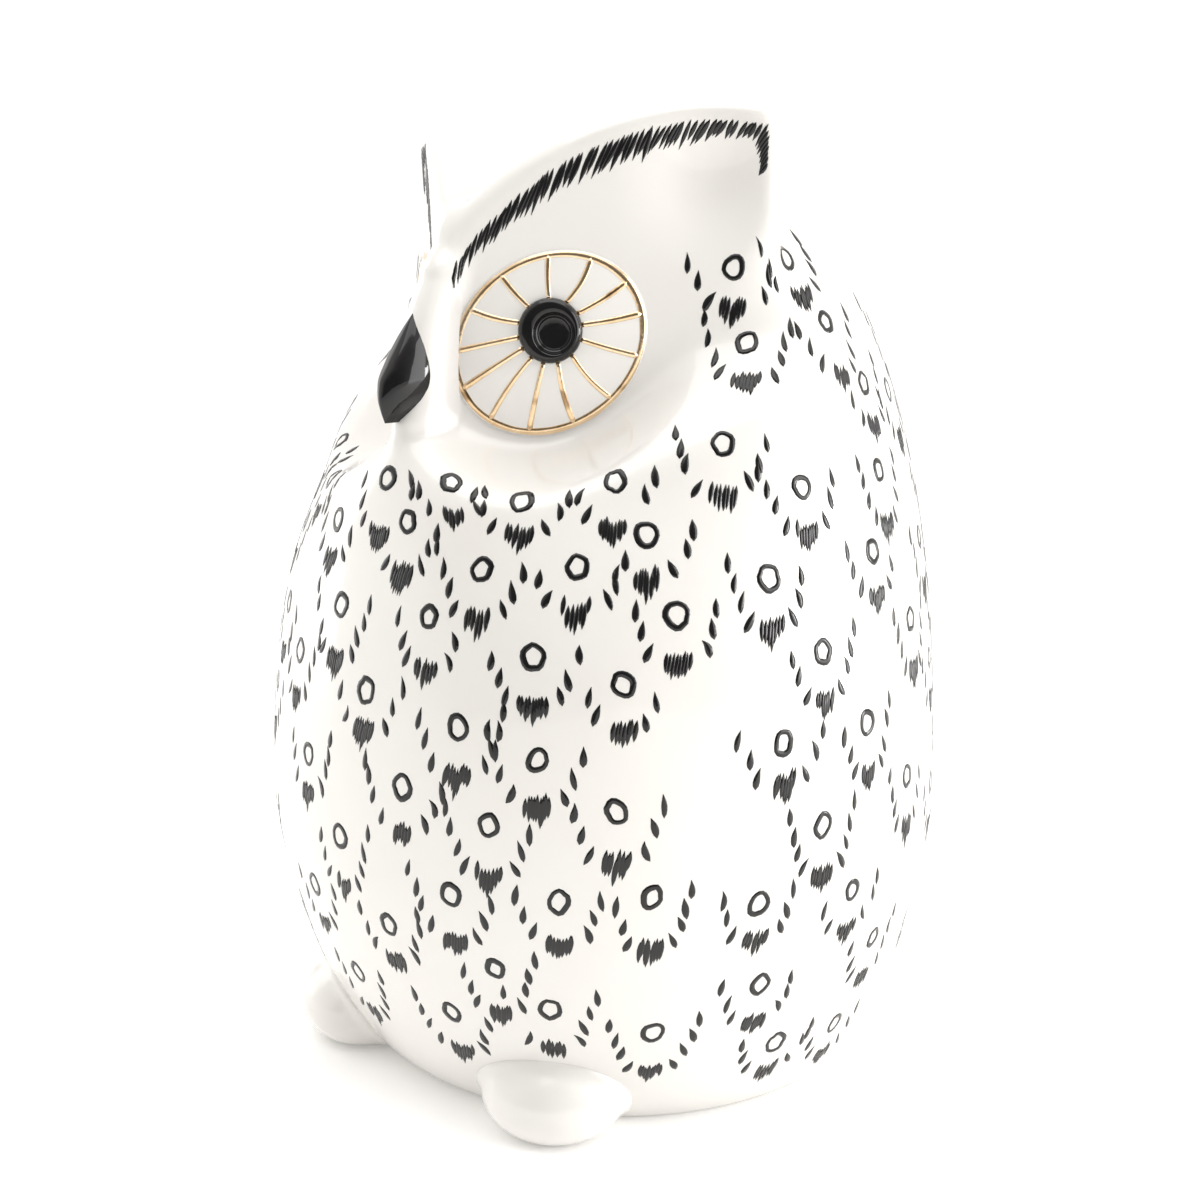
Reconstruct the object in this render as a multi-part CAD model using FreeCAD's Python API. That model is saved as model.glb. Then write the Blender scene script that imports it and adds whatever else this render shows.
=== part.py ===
"""Owl figurine: a hollow glazed ceramic owl, modelled in millimetres.

The owl stands on z = 0 and faces -Y, with its own left side towards +X.
The body is one closed skin described by a signed field: an egg, two ears that
rise out of it, and two face planes that meet in a nose ridge.  The field is
sampled along rays from the owl's axis and a B-spline surface is laid on the samples.
"""
import FreeCAD, Part
import math
import os

Vector = FreeCAD.Vector

# ---------------------------------------------------------------- driving dimensions (mm)
EGG_AXIS_Y = 1.8            # the egg's axis at the crown, behind the origin
EGG_CHEST = (1.8, 72.0, 38.0)       # the axis bows forward: how far, at what height, over what height
EGG_HEEL = (3.9, 5.0)       # the axis sets back at the base: how far, and the power it grows with
EGG_WAIST_Z = 60.0          # height of the widest section
EGG_WAIST_R = 80.7
EGG_TOP_Z = 207.4
EGG_DOME_POWERS = (1.81, 0.312)
FLATTEST = 0.004            # keeps the egg's field finite on its own axis
EGG_BASE_DRAW = ((14.9, 1.63), (1.4, 14.0))     # how far the base draws in, and the powers it grows with

FACE_AZIMUTH = 38.5         # degrees that each face plane is turned from straight ahead
FACE_ELEVATION = 3.0        # degrees that each face plane looks up
EYE_CENTRE = Vector(19.1, -39.2, 167.6)
CHEEK_BULGE = 18.5          # the plane swells this far to meet the chest below and beside the eye
CHEEK_TURN = 15.0           # degrees that the swelling's direction leans outwards from straight down
CHEEK_START = 5.0           # distance from the eye centre where the swelling starts
CHEEK_SPAN = 28.0
CHEEK_SLOPE = 0.60          # lower still the cheek goes on sloping out at this rate
CHEEK_SLOPE_START = 28.0
CHEEK_SLOPE_SOFT = 8.0
FACE_BLEND = (10.0, 4.0)    # softness of the edge between face and egg, at the cheek and at the ear
FACE_BLEND_SPAN = (0.0, 30.0)
NOSE_BLEND = 4.0            # softness of the nose ridge between the two faces

NOSE_ENDS_Z = (152.0, 181.0)     # heights of the ends of the round nose ridge
NOSE_BEND = (-57.3, 160.0)  # y and height where the ridge's centre line stands upright
NOSE_UPPER = (7.3, 21.0)    # above it the line curves back: how far, over what height
NOSE_LOWER = (3.0, 10.0)    # below it the line curves forward: how far, over what height
NOSE_RADIUS = 5.0
NOSE_JOIN = 3.5

EYE_LONG = 20.5             # half-axes of the gold oval around the eye
EYE_SHORT = 16.9
EYE_TILT = 33.8             # degrees that the oval's long axis rises towards the ear
EYE_CLEAR = (1.06, 0.70)    # the cheek swell fades in over this much of the oval's size

BROW_CENTRE = (34.0, -23.4)  # centre of the brow arc in the face plane, from the eye centre
BROW_RADIUS = 72.1
EAR_SIDE = 47.1             # outer edge of the ear in the face plane, from the eye centre
EAR_TUCK = (25.0, 0.30)     # below this height the ear's edge draws in at this slope
EAR_FOOT = 2.0              # the ear's wedge ends at this height in the face plane
EAR_FOOT_BLEND = 16.0
EAR_LIP = 6.5               # thickness of the ear at its rim
EAR_TAPER = 1.8             # how fast the ear thickens towards its root
EAR_CORNER = 5.0
EAR_RIM_BLEND = 4.0
EAR_ROOT_BLEND = 9.0
HOLLOW_CENTRE = (33.0, 33.0)
HOLLOW_WIDTH = 12.0
HOLLOW_DEPTH = 4.0

RAY_CENTRE_Z = 150.0        # rays are level up to here, and fan out from here to the crown
RAY_REACH = 112.0
RAY_STEP = 1.6
FAN_LENGTH = 100.0          # length given to the fan of rays when the rows are shared out
HALVINGS = 14
ROWS = 76
COLUMNS = 144
BASE_TOLERANCE = 0.01

WALL = 5.0                  # thickness of the cast wall
VENT_RADIUS = 7.0           # casting vent in the middle of the base
CAVITY_ROWS = 14
CAVITY_CROWN = 1.0          # extra thickness under the crown
CAVITY_CHEEK = 49.0         # below this distance under the eye centre the cavity fills the chest
BEYOND = 400.0              # larger than the owl in every direction
DOME_RISE = 2.4             # crown of the eye dome above the face plane
DOME_DEPTH = 1.6            # how far the dome is let into the face
DOME_EDGE = 0.25            # height of the dome's rim above the face plane
DOME_MARGIN = 0.9           # white margin outside the gold oval's middle line
CAP_HALF_WAY = 0.75         # a shallow cap has this share of its rise half way in
GOLD_THICK = 0.2
GOLD_WIDTH = 1.4
SPOKE_WIDTH = 1.1
SPOKES = 13
SPOKE_START = 6.9           # degrees from the oval's long axis to the first spoke
PUPIL_RADIUS = 6.7
PUPIL_PLACE = (0.4, 2.6)    # from the eye centre, across and up the face plane
PUPIL_SEAT = 1.0            # the pupil's flat back, above the face plane
PUPIL_RIM = (3.7, 5.5)      # height and radius of the pupil's flat top
PUPIL_SKIRT = 2.0           # the pupil's side is upright to this height
CRATER_SHIFT = (0.85, -0.55)    # the crater lies off the pupil's middle, outwards and down
CRATER_MOUTH = (3.7, 4.4)   # height and radius of the crater's mouth, its ledge and its floor
CRATER_LEDGE = (2.5, 4.1)
CRATER_FLOOR = (1.9, 3.3)

BEAK_SEAT_DEPTH = 2.5       # how far the beak is let into the nose ridge
BEAK_SECTIONS = (           # height, reach in front of the nose ridge, half width
    (174.6, 0.2, 0.3), (171.5, 1.4, 2.1), (168.0, 2.8, 3.5), (164.2, 4.6, 4.3),
    (160.5, 6.4, 4.5), (157.0, 6.6, 3.8), (154.2, 5.4, 2.3), (152.0, 3.8, 0.5))

FOOT_CENTRE = Vector(32.0, -52.8, 0.0)
FOOT_TURN = 31.0            # degrees that the foot points outwards
FOOT_HALF_WIDTH = 16.3
FOOT_HALF_LENGTH = 15.5
FOOT_HEIGHT = 20.0
FOOT_BELLY = 8.5            # height of the foot's widest section


def smoothstep(t):
    t = min(1.0, max(0.0, t))
    return t * t * (3.0 - 2.0 * t)


def smooth_max(a, b, width):
    h = min(1.0, max(0.0, 0.5 + 0.5 * (a - b) / width))
    return a * h + b * (1.0 - h) + width * h * (1.0 - h)


def smooth_min(a, b, width):
    return -smooth_max(-a, -b, width)


# ---------------------------------------------------------------- the body's form
_az = math.radians(FACE_AZIMUTH)
_el = math.radians(FACE_ELEVATION)
FACE_NORMAL = Vector(math.cos(_el) * math.sin(_az), -math.cos(_el) * math.cos(_az), math.sin(_el))
FACE_ACROSS = Vector(math.cos(_az), math.sin(_az), 0.0)
FACE_UP = FACE_NORMAL.cross(FACE_ACROSS)


def egg_radius(z):
    """Radius of the egg at a height."""
    if z <= EGG_WAIST_Z:
        t = (EGG_WAIST_Z - z) / EGG_WAIST_Z
        return EGG_WAIST_R - sum(draw * t ** power for draw, power in EGG_BASE_DRAW)
    t = min(1.0, (z - EGG_WAIST_Z) / (EGG_TOP_Z - EGG_WAIST_Z))
    a, b = EGG_DOME_POWERS
    return EGG_WAIST_R * (1.0 - t ** a) ** b


def egg_axis(z):
    """Where the middle of the egg's section at a height is, from front to back."""
    forward, height, spread = EGG_CHEST
    back, power = EGG_HEEL
    below = max(0.0, EGG_WAIST_Z - z) / EGG_WAIST_Z
    return EGG_AXIS_Y - forward * math.exp(-((z - height) / spread) ** 2) + back * below ** power


def egg_field(x, y, z):
    """Distance-like value, negative inside the egg."""
    r = math.hypot(x, y - egg_axis(z))
    if z <= EGG_WAIST_Z:
        slope = egg_radius(z + 0.5) - egg_radius(z - 0.5)
        return (r - egg_radius(z)) / math.sqrt(1.0 + slope * slope)
    a, b = EGG_DOME_POWERS
    rise = EGG_TOP_Z - EGG_WAIST_Z
    t = (z - EGG_WAIST_Z) / rise
    s = r / EGG_WAIST_R
    level = s ** (1.0 / b) + t ** a - 1.0
    across = s ** (1.0 / b - 1.0) / (b * EGG_WAIST_R)
    upward = a * t ** (a - 1.0) / rise
    return level / max(math.hypot(across, upward), FLATTEST)


def face_coordinates(x, y, z, side):
    """Place in one face plane: out of it, across it and up it."""
    dx = side * x - EYE_CENTRE.x
    dy = y - EYE_CENTRE.y
    dz = z - EYE_CENTRE.z
    out = FACE_NORMAL.x * dx + FACE_NORMAL.y * dy + FACE_NORMAL.z * dz
    across = FACE_ACROSS.x * dx + FACE_ACROSS.y * dy
    up = FACE_UP.x * dx + FACE_UP.y * dy + FACE_UP.z * dz
    return out, across, up


def eye_oval(across, up):
    """Size of the gold oval that passes through a place in the face plane, as a share of its own."""
    tilt = math.radians(EYE_TILT)
    along = across * math.cos(tilt) + up * math.sin(tilt)
    over = up * math.cos(tilt) - across * math.sin(tilt)
    return math.hypot(along / EYE_LONG, over / EYE_SHORT)


def face_field(out, across, up):
    """The face plane, swollen at the cheek, flat round the eye and hollowed in the ear."""
    clear, fade = EYE_CLEAR
    beside_eye = smoothstep((eye_oval(across, up) - clear) / fade)
    lean = math.radians(CHEEK_TURN)
    below = max(0.0, across) * math.sin(lean) - up * math.cos(lean)
    bulge = CHEEK_BULGE * smoothstep((below - CHEEK_START) / CHEEK_SPAN) * beside_eye
    lower = -up - CHEEK_SLOPE_START
    bulge += CHEEK_SLOPE * 0.5 * (lower + math.hypot(lower, CHEEK_SLOPE_SOFT)) * beside_eye
    u, w = HOLLOW_CENTRE
    spread = ((across - u) ** 2 + (up - w) ** 2) / HOLLOW_WIDTH ** 2
    return out - bulge + HOLLOW_DEPTH * math.exp(-spread)


def ear_field(out, across, up):
    """A wedge behind the face plane, under the brow arc and inside the ear's outer edge."""
    u, w = BROW_CENTRE
    under_arc = math.hypot(across - u, up - w) - BROW_RADIUS
    tuck_start, tuck_slope = EAR_TUCK
    inside_edge = across - EAR_SIDE + tuck_slope * max(0.0, tuck_start - up)
    outline = smooth_max(under_arc, inside_edge, EAR_CORNER)
    outline = smooth_max(outline, EAR_FOOT - up, EAR_FOOT_BLEND)
    back = -out - EAR_LIP + EAR_TAPER * outline
    return smooth_max(outline, back, EAR_RIM_BLEND)


def nose_line(z):
    """Where the nose ridge's centre line is at a height, from front to back, and its slope there."""
    y, bend_z = NOSE_BEND
    back, rise = NOSE_UPPER
    forward, drop = NOSE_LOWER
    above = max(0.0, z - bend_z) / rise
    below = max(0.0, bend_z - z) / drop
    slope = 2.0 * back * above / rise + 2.0 * forward * below / drop
    return y + back * above ** 2 - forward * below ** 2, slope


def nose_field(x, y, z):
    """Distance-like value to the round ridge that runs down between the eyes."""
    low, high = NOSE_ENDS_Z
    level = min(high, max(low, z))
    line_y, slope = nose_line(level)
    away = (y - line_y) / math.sqrt(1.0 + slope * slope)
    return math.hypot(math.hypot(x, away), z - level) - NOSE_RADIUS


def body_field(x, y, z):
    """Negative inside the owl's outer skin."""
    solid = egg_field(x, y, z)
    faces = []
    heights = []
    for side in (1, -1):
        out, across, up = face_coordinates(x, y, z, side)
        faces.append(face_field(out, across, up))
        heights.append(up)
        solid = smooth_min(solid, ear_field(out, across, up), EAR_ROOT_BLEND)
    face = smooth_max(faces[0], faces[1], NOSE_BLEND)
    height = heights[0] if x > 0 else heights[1]
    soft, sharp = FACE_BLEND
    low, high = FACE_BLEND_SPAN
    blend = soft + (sharp - soft) * smoothstep((height - low) / (high - low))
    return smooth_min(smooth_max(solid, face, blend), nose_field(x, y, z), NOSE_JOIN)


def surface_distance(start, direction):
    """How far along a ray the outer skin is crossed for the last time."""
    def field(reach):
        p = start + direction * reach
        return body_field(p.x, p.y, p.z)

    reach = RAY_REACH
    while reach > 0.0 and field(reach) > 0.0:
        reach -= RAY_STEP
    low, high = reach, reach + RAY_STEP
    for _ in range(HALVINGS):
        middle = 0.5 * (low + high)
        if field(middle) < 0.0:
            low = middle
        else:
            high = middle
    return 0.5 * (low + high)


def row_ray(share):
    """Where a row of rays starts, and its elevation, from the base (0) to the crown (1)."""
    length = RAY_CENTRE_Z + FAN_LENGTH
    travelled = share * length
    if travelled <= RAY_CENTRE_Z:
        return travelled, 0.0
    return RAY_CENTRE_Z, (travelled - RAY_CENTRE_Z) / FAN_LENGTH * math.pi / 2.0


def skin_point(share, azimuth):
    z, elevation = row_ray(share)
    level = math.cos(elevation)
    direction = Vector(level * math.sin(azimuth), -level * math.cos(azimuth), math.sin(elevation))
    start = Vector(0.0, EGG_AXIS_Y, z)
    return start + direction * surface_distance(start, direction)


def row_shares():
    """Heights of the rows at the places that a clamped cubic spline gives its control points."""
    spans = ROWS - 3
    places = [0.0, 1.0 / 3.0] + [float(i) for i in range(1, spans)] + [spans - 1.0 / 3.0, float(spans)]
    return [place / spans for place in places]


def skin_rows():
    """Rings of points on the outer skin, from the base to the crown; the owl is symmetric."""
    half = COLUMNS // 2
    rows = []
    for share in row_shares():
        ring = [skin_point(share, 2.0 * math.pi * i / COLUMNS) for i in range(half + 1)]
        ring += [Vector(-p.x, p.y, p.z) for p in reversed(ring[1:half])]
        rows.append(ring)
    crown = rows[-1][0]
    rows[-1] = [Vector(crown)] * COLUMNS
    return rows


def sharpen_ring(ring):
    """Control points of a closed cubic curve that passes through a ring of points."""
    count = len(ring)
    return [ring[i] - (ring[i - 1] + ring[(i + 1) % count] - ring[i] * 2.0) * (1.0 / 6.0)
            for i in range(count)]


def sharpen_columns(rows):
    """The same upwards, with the first two and last two rings left as they are."""
    result = [list(ring) for ring in rows]
    for i in range(2, len(rows) - 2):
        for j in range(len(rows[i])):
            bend = rows[i - 1][j] + rows[i + 1][j] - rows[i][j] * 2.0
            result[i][j] = rows[i][j] - bend * (1.0 / 6.0)
    return result


def outer_skin():
    """The owl's outer form as one solid."""
    rows = skin_rows()
    poles = sharpen_columns([sharpen_ring(ring) for ring in rows[:-1]] + [rows[-1]])
    spans = ROWS - 3
    up_knots = [float(i) for i in range(spans + 1)]
    up_mults = [4] + [1] * (spans - 1) + [4]
    around_knots = [float(i) for i in range(COLUMNS + 1)]
    around_mults = [1] * (COLUMNS + 1)
    surface = Part.BSplineSurface()
    surface.buildFromPolesMultsKnots(poles, up_mults, around_mults, up_knots, around_knots,
                                     False, True, 3, 3)
    side = surface.toShape()
    rim = [edge for edge in side.Edges if edge.BoundBox.ZMax < BASE_TOLERANCE]
    base = Part.Face(Part.Wire(rim))
    shell = Part.makeShell([side, base])
    shell.sewShape()
    solid = Part.makeSolid(shell)
    if solid.Volume < 0.0:
        solid.reverse()
    return solid


# ---------------------------------------------------------------- building blocks
def mirrored(shape):
    return shape.mirror(Vector(0, 0, 0), Vector(1, 0, 0))


def on_face(shape, across=0.0, up=0.0, turn=0.0):
    """Move a shape built round +Z on to the left face plane, +Z pointing out of the face."""
    turned = shape.copy()
    turned.rotate(Vector(0, 0, 0), Vector(0, 0, 1), turn)
    place = EYE_CENTRE + FACE_ACROSS * across + FACE_UP * up
    matrix = FreeCAD.Matrix()
    matrix.A11, matrix.A21, matrix.A31 = FACE_ACROSS.x, FACE_ACROSS.y, FACE_ACROSS.z
    matrix.A12, matrix.A22, matrix.A32 = FACE_UP.x, FACE_UP.y, FACE_UP.z
    matrix.A13, matrix.A23, matrix.A33 = FACE_NORMAL.x, FACE_NORMAL.y, FACE_NORMAL.z
    matrix.A14, matrix.A24, matrix.A34 = place.x, place.y, place.z
    turned.Placement = FreeCAD.Placement(matrix).multiply(turned.Placement)
    return turned


def stretched(shape, along_x, along_y, along_z=1.0):
    matrix = FreeCAD.Matrix()
    matrix.scale(along_x, along_y, along_z)
    return shape.transformGeometry(matrix)


def turned_solid(edges):
    """Full turn about Z of a closed outline in the XZ plane."""
    face = Part.Face(Part.Wire(edges))
    return face.revolve(Vector(0, 0, 0), Vector(0, 0, 1), 360.0)


def line(a, b):
    return Part.makeLine(Vector(a[0], 0.0, a[1]), Vector(b[0], 0.0, b[1]))


def arc(a, middle, b):
    places = [Vector(x, 0.0, z) for x, z in (a, middle, b)]
    return Part.Arc(*places).toShape()


def shoulder(skirt, rim):
    """Middle of the arc that leaves the skirt straight up and ends on the rim."""
    inward = skirt[0] - rim[0]
    rise = rim[1] - skirt[1]
    radius = (inward ** 2 + rise ** 2) / (2.0 * inward)
    half = 0.5 * math.atan2(rise, radius - inward)
    return skirt[0] - radius * (1.0 - math.cos(half)), skirt[1] + radius * math.sin(half)


def box_round_origin(size, low_z):
    """A block centred on the Z axis, from low_z upwards."""
    return Part.makeBox(size, size, size, Vector(-size / 2.0, -size / 2.0, low_z))


# ---------------------------------------------------------------- the pieces
def cavity():
    """The space inside the cast wall."""
    climb = EGG_TOP_Z - WALL - CAVITY_CROWN - WALL
    rings = []
    for i in range(CAVITY_ROWS):
        z = WALL + climb * math.sin(0.5 * math.pi * i / (CAVITY_ROWS - 1))
        centre = Vector(0.0, egg_axis(z), z)
        rings.append(Part.Wire([Part.makeCircle(egg_radius(z) - WALL, centre)]))
    corner = Vector(-BEYOND / 2.0, -CAVITY_CHEEK, -WALL)
    beyond_face = on_face(Part.makeBox(BEYOND, BEYOND, BEYOND, corner))
    return the_solid(Part.makeLoft(rings, True, False).cut([beyond_face, mirrored(beyond_face)]))


def lens(lift=0.0):
    """A round lens about +Z, let into the face; lift raises its whole crown."""
    edge = (EYE_LONG + DOME_MARGIN, DOME_EDGE + lift)
    crown = (0.0, DOME_RISE + lift)
    middle = (edge[0] * 0.5, edge[1] + (crown[1] - edge[1]) * CAP_HALF_WAY)
    return turned_solid([
        line((0.0, -DOME_DEPTH), (edge[0], -DOME_DEPTH)),
        line((edge[0], -DOME_DEPTH), edge),
        arc(edge, middle, crown),
        line(crown, (0.0, -DOME_DEPTH))])


def as_oval(shape):
    """Squash a round eye piece to the oval and set it on the face."""
    squash = (EYE_SHORT + DOME_MARGIN) / (EYE_LONG + DOME_MARGIN)
    return on_face(stretched(shape, 1.0, squash), turn=EYE_TILT)


def pupil():
    """A low boss with a stepped crater in its top."""
    rim = (PUPIL_RIM[1], PUPIL_RIM[0])
    skirt = (PUPIL_RADIUS, PUPIL_SKIRT)
    seat = (0.0, PUPIL_SEAT)
    top = (0.0, PUPIL_RIM[0])
    boss = turned_solid([
        line(seat, (PUPIL_RADIUS, PUPIL_SEAT)),
        line((PUPIL_RADIUS, PUPIL_SEAT), skirt),
        arc(skirt, shoulder(skirt, rim), rim),
        line(rim, top),
        line(top, seat)])
    levels = (CRATER_MOUTH, CRATER_LEDGE, CRATER_FLOOR)
    mouth, ledge, floor = [(radius, height) for height, radius in levels]
    beyond = (mouth[0], mouth[1] + PUPIL_SEAT)
    crater = turned_solid([
        line((0.0, floor[1]), floor),
        line(floor, ledge),
        line(ledge, mouth),
        line(mouth, beyond),
        line(beyond, (0.0, beyond[1])),
        line((0.0, beyond[1]), (0.0, floor[1]))])
    crater.translate(Vector(CRATER_SHIFT[0], CRATER_SHIFT[1], 0.0))
    across, up = PUPIL_PLACE
    return on_face(boss.cut(crater), across, up)


def pupil_hole():
    """The round seat that the dome and the gold leave for the pupil."""
    across, up = PUPIL_PLACE
    room = Part.makeCylinder(PUPIL_RADIUS, 2.0 * PUPIL_RIM[0], Vector(0, 0, PUPIL_SEAT))
    return on_face(room, across, up)


def gold_pattern():
    """A ring and its spokes, as tall prisms about +Z."""
    tall = EYE_LONG
    bottom = Vector(0, 0, -tall / 2)
    outer = Part.makeCylinder(EYE_LONG + GOLD_WIDTH / 2, tall, bottom)
    pattern = outer.cut(Part.makeCylinder(EYE_LONG - GOLD_WIDTH / 2, tall, bottom))
    centre_x, centre_y = pupil_in_round_eye()
    spokes = []
    for i in range(SPOKES):
        angle = math.radians(SPOKE_START + 360.0 * i / SPOKES)
        end = Vector(EYE_LONG * math.cos(angle), EYE_LONG * math.sin(angle), 0.0)
        run = end - Vector(centre_x, centre_y, 0.0)
        bar = Part.makeBox(run.Length, SPOKE_WIDTH, tall, Vector(0, -SPOKE_WIDTH / 2, -tall / 2))
        bar.rotate(Vector(0, 0, 0), Vector(0, 0, 1), math.degrees(math.atan2(run.y, run.x)))
        bar.translate(Vector(centre_x, centre_y, 0.0))
        spokes.append(bar)
    return pattern.fuse(spokes).removeSplitter()


def pupil_in_round_eye():
    """The pupil's place before the eye is squashed to an oval and tilted."""
    across, up = PUPIL_PLACE
    tilt = math.radians(EYE_TILT)
    squash = (EYE_SHORT + DOME_MARGIN) / (EYE_LONG + DOME_MARGIN)
    along = across * math.cos(tilt) + up * math.sin(tilt)
    over = up * math.cos(tilt) - across * math.sin(tilt)
    return along, over / squash


def eye_wheel():
    """The raised gold ring and spokes that lie on the dome round the pupil."""
    layer = lens(GOLD_THICK).cut(lens())
    wheel = as_oval(layer.common(gold_pattern()))
    return wheel.cut(pupil_hole())


def beak():
    wires = []
    for height, reach, half_width in BEAK_SECTIONS:
        ridge = nose_line(height)[0] - NOSE_RADIUS
        middle = ridge + BEAK_SEAT_DEPTH
        depth = reach + BEAK_SEAT_DEPTH
        wide = half_width > depth
        axis = Vector(1, 0, 0) if wide else Vector(0, 1, 0)
        oval = Part.Ellipse()
        oval.Center = Vector(0.0, middle, height)
        oval.MajorRadius = max(half_width, depth)
        oval.MinorRadius = min(half_width, depth)
        edge = oval.toShape()
        if not wide:
            edge.rotate(Vector(0.0, middle, height), Vector(0, 0, 1), 90.0)
        wires.append(Part.Wire([edge]))
    return Part.makeLoft(wires, True, False)


def foot():
    """A rounded lump, flat where it stands."""
    ball = Part.makeSphere(1.0)
    upper = FOOT_HEIGHT - FOOT_BELLY
    lump = stretched(ball, FOOT_HALF_WIDTH, FOOT_HALF_LENGTH, upper)
    lump.translate(Vector(0, 0, FOOT_BELLY))
    lump = lump.cut(box_round_origin(BEYOND, -BEYOND))
    lump.rotate(Vector(0, 0, 0), Vector(0, 0, 1), FOOT_TURN)
    lump.translate(FOOT_CENTRE)
    return lump


def the_solid(shape):
    """The only solid of a shape."""
    if len(shape.Solids) != 1:
        raise ValueError("expected one solid, found %d" % len(shape.Solids))
    return shape.Solids[0]


def build():
    skin = outer_skin()
    vent = Part.makeCylinder(VENT_RADIUS, 3.0 * WALL, Vector(0, 0, -WALL))
    eye_seat = as_oval(lens())
    eye_room = as_oval(lens(GOLD_THICK))
    body = skin.cut([cavity(), vent, eye_room, mirrored(eye_room)])
    pieces = {
        "body_shell": body,
        "beak": beak().cut(skin),
        "eye_dome_left": eye_seat.cut(pupil_hole()),
        "eye_wheel_left": eye_wheel(),
        "pupil_left": pupil(),
        "foot_left": foot().cut(skin),
    }
    for name in [name for name in pieces if name.endswith("_left")]:
        pieces[name.replace("_left", "_right")] = mirrored(pieces[name])
    os.makedirs("parts", exist_ok=True)
    for name, shape in sorted(pieces.items()):
        the_solid(shape).exportStep(os.path.join("parts", name + ".step"))
        print(name, shape.isValid(), round(shape.Volume, 1))


build()
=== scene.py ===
"""Looks of the owl figurine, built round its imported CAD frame.

The form is the same signed field as the CAD source, sampled finely, but the nose's fillet
is eased back beside the gold rings and a thin web joins each foot to the body.
The hand-painted feathers, brows and gold eye lines are thin raised strokes laid on that form.
Lengths are in millimetres until a mesh is made; Blender gets metres.
"""

import math

import bpy
import numpy as np
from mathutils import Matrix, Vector


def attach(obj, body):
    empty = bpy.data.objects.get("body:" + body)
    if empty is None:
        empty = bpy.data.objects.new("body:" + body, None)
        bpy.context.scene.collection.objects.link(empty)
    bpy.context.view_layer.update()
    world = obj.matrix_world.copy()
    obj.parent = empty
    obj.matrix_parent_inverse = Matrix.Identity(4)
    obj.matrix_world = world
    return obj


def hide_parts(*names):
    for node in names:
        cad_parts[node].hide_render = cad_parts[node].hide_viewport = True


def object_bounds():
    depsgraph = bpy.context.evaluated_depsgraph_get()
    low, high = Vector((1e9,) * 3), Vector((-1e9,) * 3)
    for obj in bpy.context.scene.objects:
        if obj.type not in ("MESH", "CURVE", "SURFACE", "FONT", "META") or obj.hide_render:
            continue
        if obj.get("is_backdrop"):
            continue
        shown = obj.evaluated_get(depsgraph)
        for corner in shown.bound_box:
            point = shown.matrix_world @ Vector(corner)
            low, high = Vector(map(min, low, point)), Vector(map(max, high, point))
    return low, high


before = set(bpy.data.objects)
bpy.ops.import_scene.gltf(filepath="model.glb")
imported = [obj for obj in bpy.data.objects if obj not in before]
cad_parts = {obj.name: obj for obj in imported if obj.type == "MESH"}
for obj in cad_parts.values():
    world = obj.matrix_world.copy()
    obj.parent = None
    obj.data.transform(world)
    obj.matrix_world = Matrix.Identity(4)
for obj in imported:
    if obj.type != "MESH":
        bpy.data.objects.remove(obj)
cad_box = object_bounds()

MM = 0.001
BODY = "root"

# ---------------------------------------------------------------- the form, as in the CAD source (mm)
EGG_AXIS_Y = 1.8
EGG_CHEST = (1.8, 72.0, 38.0)
EGG_HEEL = (3.9, 5.0)
EGG_WAIST_Z = 60.0
EGG_WAIST_R = 80.7
EGG_TOP_Z = 207.4
EGG_DOME_POWERS = (1.81, 0.312)
FLATTEST = 0.004
EGG_BASE_DRAW = ((14.9, 1.63), (1.4, 14.0))

FACE_AZIMUTH = 38.5
FACE_ELEVATION = 3.0
EYE_CENTRE = np.array([19.1, -39.2, 167.6])
CHEEK_BULGE = 18.5
CHEEK_TURN = 15.0
CHEEK_START = 5.0
CHEEK_SPAN = 28.0
CHEEK_SLOPE = 0.60
CHEEK_SLOPE_START = 28.0
CHEEK_SLOPE_SOFT = 8.0
FACE_BLEND = (10.0, 4.0)
FACE_BLEND_SPAN = (0.0, 30.0)
NOSE_BLEND = 4.0
NOSE_ENDS_Z = (152.0, 181.0)
NOSE_BEND = (-57.3, 160.0)
NOSE_UPPER = (7.3, 21.0)
NOSE_LOWER = (3.0, 10.0)
NOSE_RADIUS = 5.0
NOSE_JOIN = 3.5

EYE_LONG = 20.5
EYE_SHORT = 16.9
EYE_TILT = 33.8
EYE_CLEAR = (1.06, 0.70)
BROW_CENTRE = (34.0, -23.4)
BROW_RADIUS = 72.1
EAR_SIDE = 47.1
EAR_TUCK = (25.0, 0.30)
EAR_FOOT = 2.0
EAR_FOOT_BLEND = 16.0
EAR_LIP = 6.5
EAR_TAPER = 1.8
EAR_CORNER = 5.0
EAR_RIM_BLEND = 4.0
EAR_ROOT_BLEND = 9.0
HOLLOW_CENTRE = (33.0, 33.0)
HOLLOW_WIDTH = 12.0
HOLLOW_DEPTH = 4.0
WALL = 5.0
CAVITY_CHEEK = 49.0
VENT_RADIUS = 7.0

DOME_RISE = 2.4
DOME_DEPTH = 1.6
DOME_EDGE = 0.25
DOME_MARGIN = 0.9
GOLD_WIDTH = 1.4
SPOKE_WIDTH = 1.1
SPOKES = 13
SPOKE_START = 6.9
PUPIL_RADIUS = 6.7
PUPIL_PLACE = (0.4, 2.6)

# only here, not in the CAD source: the nose's fillet is eased back beside the gold rings
RING_EASE = 2.0
RING_EASE_OVAL = (1.04, 0.34)    # the share of the eye's oval where the easing fades, and over how much
RING_EASE_OUT = (0.6, 3.2)       # the distance in front of the eye's plane where it fades, and over how much

RAY_CENTRE_Z = 150.0
RAY_REACH = 112.0
RAY_STEP = 1.6
HALVINGS = 16
PROBE = 0.05                # distance over which a field's slope is measured
DROP_ROUNDS = 5


def smoothstep(t):
    t = np.clip(t, 0.0, 1.0)
    return t * t * (3.0 - 2.0 * t)


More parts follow.
